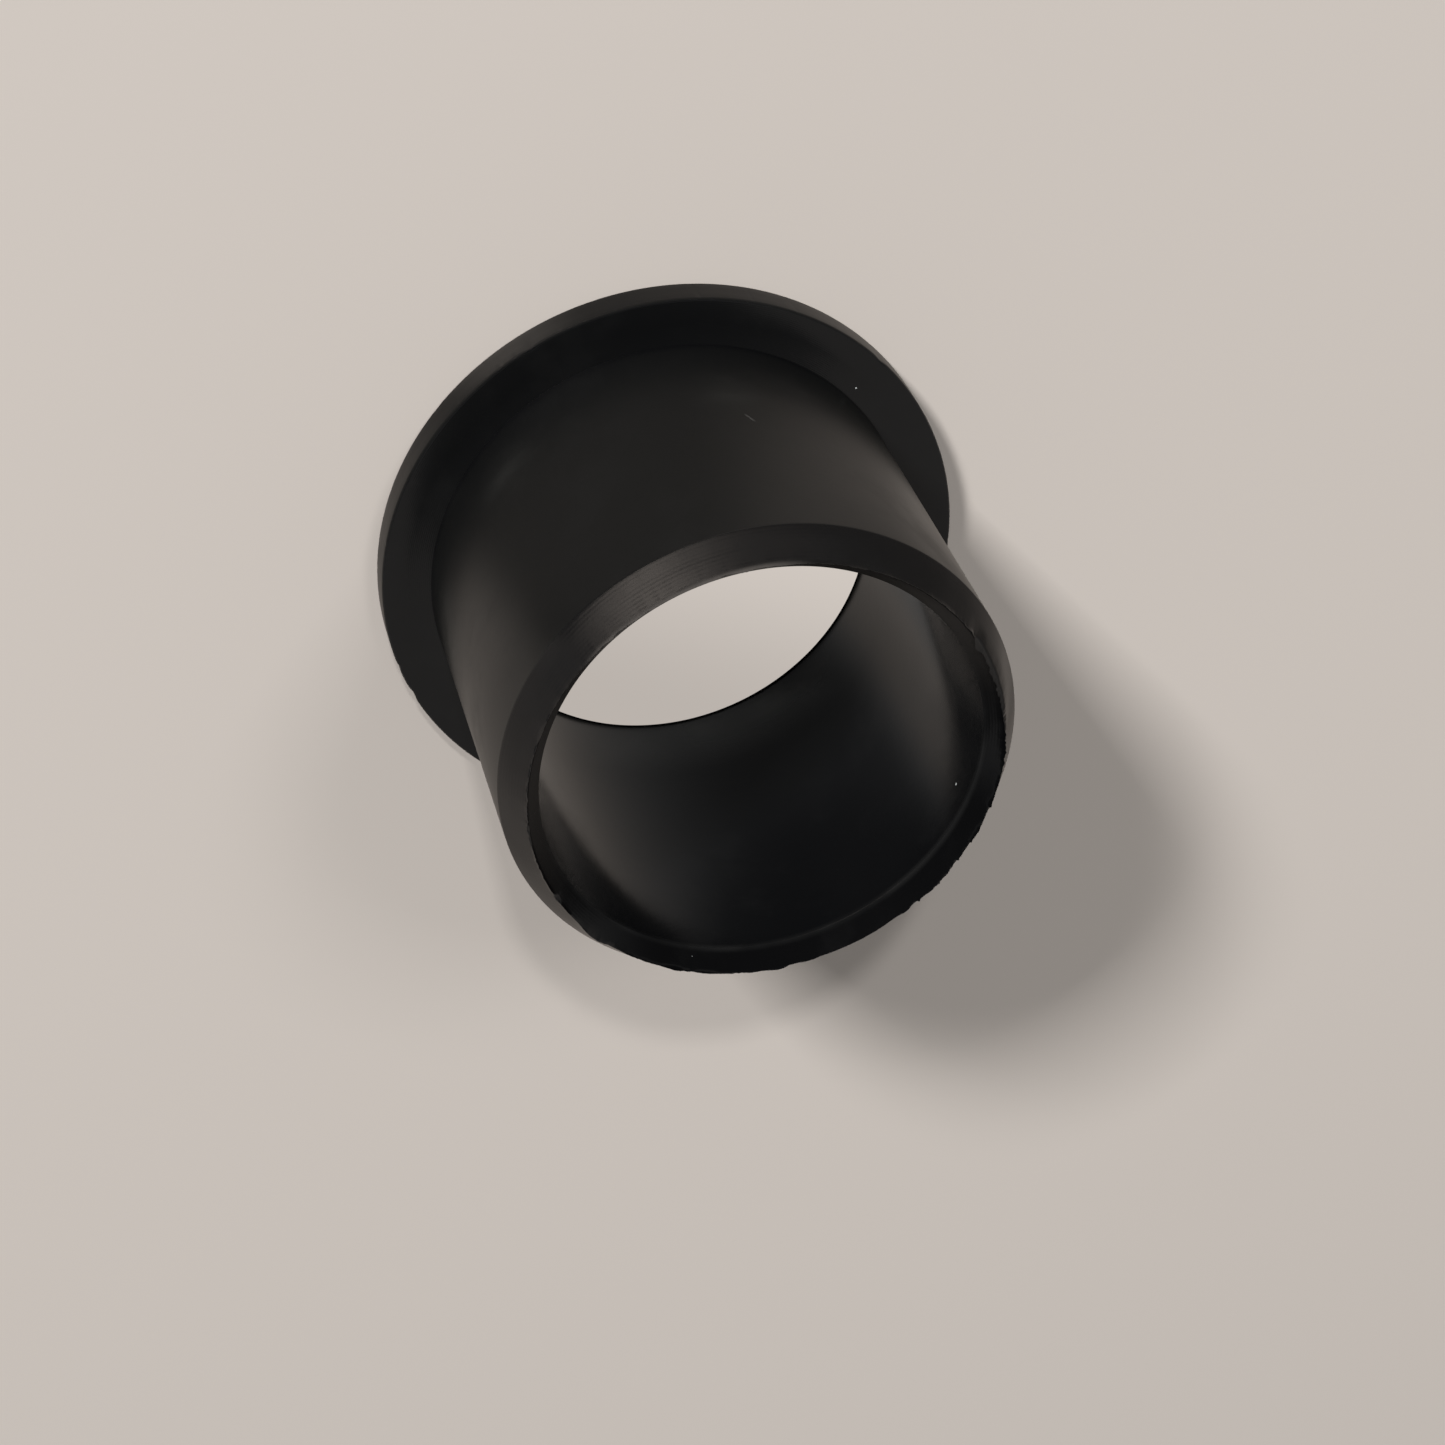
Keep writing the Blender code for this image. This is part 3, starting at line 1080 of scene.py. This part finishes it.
class BUSHING_OT_moulding(bpy.types.Operator):
    """Turn the moulding's section round, with its ragged lip, and give it its plastic"""

    bl_idname = "bushing.moulding"
    bl_label = "Moulding"

    def execute(self, context):
        sizes, flash, finish = settings()
        helper = section_object(sizes, flash)
        material = make_plastic(sizes, flash, finish)
        body = evaluated_mesh(
            turned_body_tree(),
            {
                "Section": helper,
                "Steps": sizes.steps_around,
                "Edge radius": sizes.bore_radius + sizes.inner_bevel_width,
                "Edge height": sizes.length,
                "Flange thickness": sizes.flange_thickness,
                "Fin height": flash.height,
                "Fin raggedness": flash.raggedness,
                "Fin grit": flash.grit,
                "Rim wear": flash.rim_wear,
                "Seed": float(FLASH_SEED),
                "Material": material,
            },
            "moulded_body",
        )
        bpy.data.objects.remove(helper, do_unlink=True)
        faces_outwards(body.data)
        body.data.set_sharp_from_angle(angle=math.radians(50.0))
        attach(body, "root")
        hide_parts(NODE)
        return {"FINISHED"}


class BUSHING_OT_stage(bpy.types.Operator):
    """Add the floor, the lamps and the camera"""

    bl_idname = "bushing.stage"
    bl_label = "Stage"

    def execute(self, context):
        scene = context.scene
        studio, finish = scene.bushing_studio, scene.bushing_finish
        scene.view_settings.view_transform = "Standard"
        half = Studio.FLOOR_HALF
        mesh = bpy.data.meshes.new("floor")
        outline = [(-half, -half, 0), (half, -half, 0), (half, half, 0), (-half, half, 0)]
        mesh.from_pydata(outline, [], [(0, 1, 2, 3)])
        mesh.materials.append(make_floor_material(finish))
        floor = bpy.data.objects.new("floor", mesh)
        scene.collection.objects.link(floor)
        make_world()
        for lamp in LAMPS:
            add_lamp(*lamp)

        lens = bpy.data.cameras.new("camera")
        lens.sensor_width = 36.0
        lens.lens = studio.lens / MM
        lens.clip_start = 0.005
        camera = bpy.data.objects.new("camera", lens)
        place = Vector((0.0, -math.cos(studio.camera_elevation), math.sin(studio.camera_elevation)))
        camera.location = place * studio.camera_distance
        upright = (Studio.CAMERA_AIM - camera.location).to_track_quat("-Z", "Y")
        camera.rotation_euler = (upright @ Quaternion((0.0, 0.0, 1.0), studio.camera_roll)).to_euler()
        scene.collection.objects.link(camera)
        scene.camera = camera
        return {"FINISHED"}


class BUSHING_PT_panel(bpy.types.Panel):
    """Lists the sizes and the steps"""

    bl_idname = "BUSHING_PT_panel"
    bl_label = "Flanged bushing"
    bl_space_type = "VIEW_3D"
    bl_region_type = "UI"
    bl_category = "Bushing"

    def draw(self, context):
        for group in (
            context.scene.bushing_sizes,
            context.scene.bushing_flash,
            context.scene.bushing_finish,
            context.scene.bushing_studio,
        ):
            box = self.layout.box()
            for name in group.__annotations__:
                box.prop(group, name)
        for operator in OPERATORS:
            self.layout.operator(operator.bl_idname)


GROUPS = {
    "bushing_sizes": BushingSizes,
    "bushing_flash": BushingFlash,
    "bushing_finish": BushingFinish,
    "bushing_studio": BushingStudio,
}
OPERATORS = (BUSHING_OT_moulding, BUSHING_OT_stage)


def register():
    for name, group in GROUPS.items():
        bpy.utils.register_class(group)
        setattr(bpy.types.Scene, name, bpy.props.PointerProperty(type=group))
    for kind in OPERATORS + (BUSHING_PT_panel,):
        bpy.utils.register_class(kind)


def unregister():
    for kind in (BUSHING_PT_panel,) + OPERATORS[::-1]:
        bpy.utils.unregister_class(kind)
    for name, group in reversed(list(GROUPS.items())):
        delattr(bpy.types.Scene, name)
        bpy.utils.unregister_class(group)


def main():
    register()
    bpy.ops.bushing.moulding()
    bpy.ops.bushing.stage()


if __name__ == "__main__":
    main()
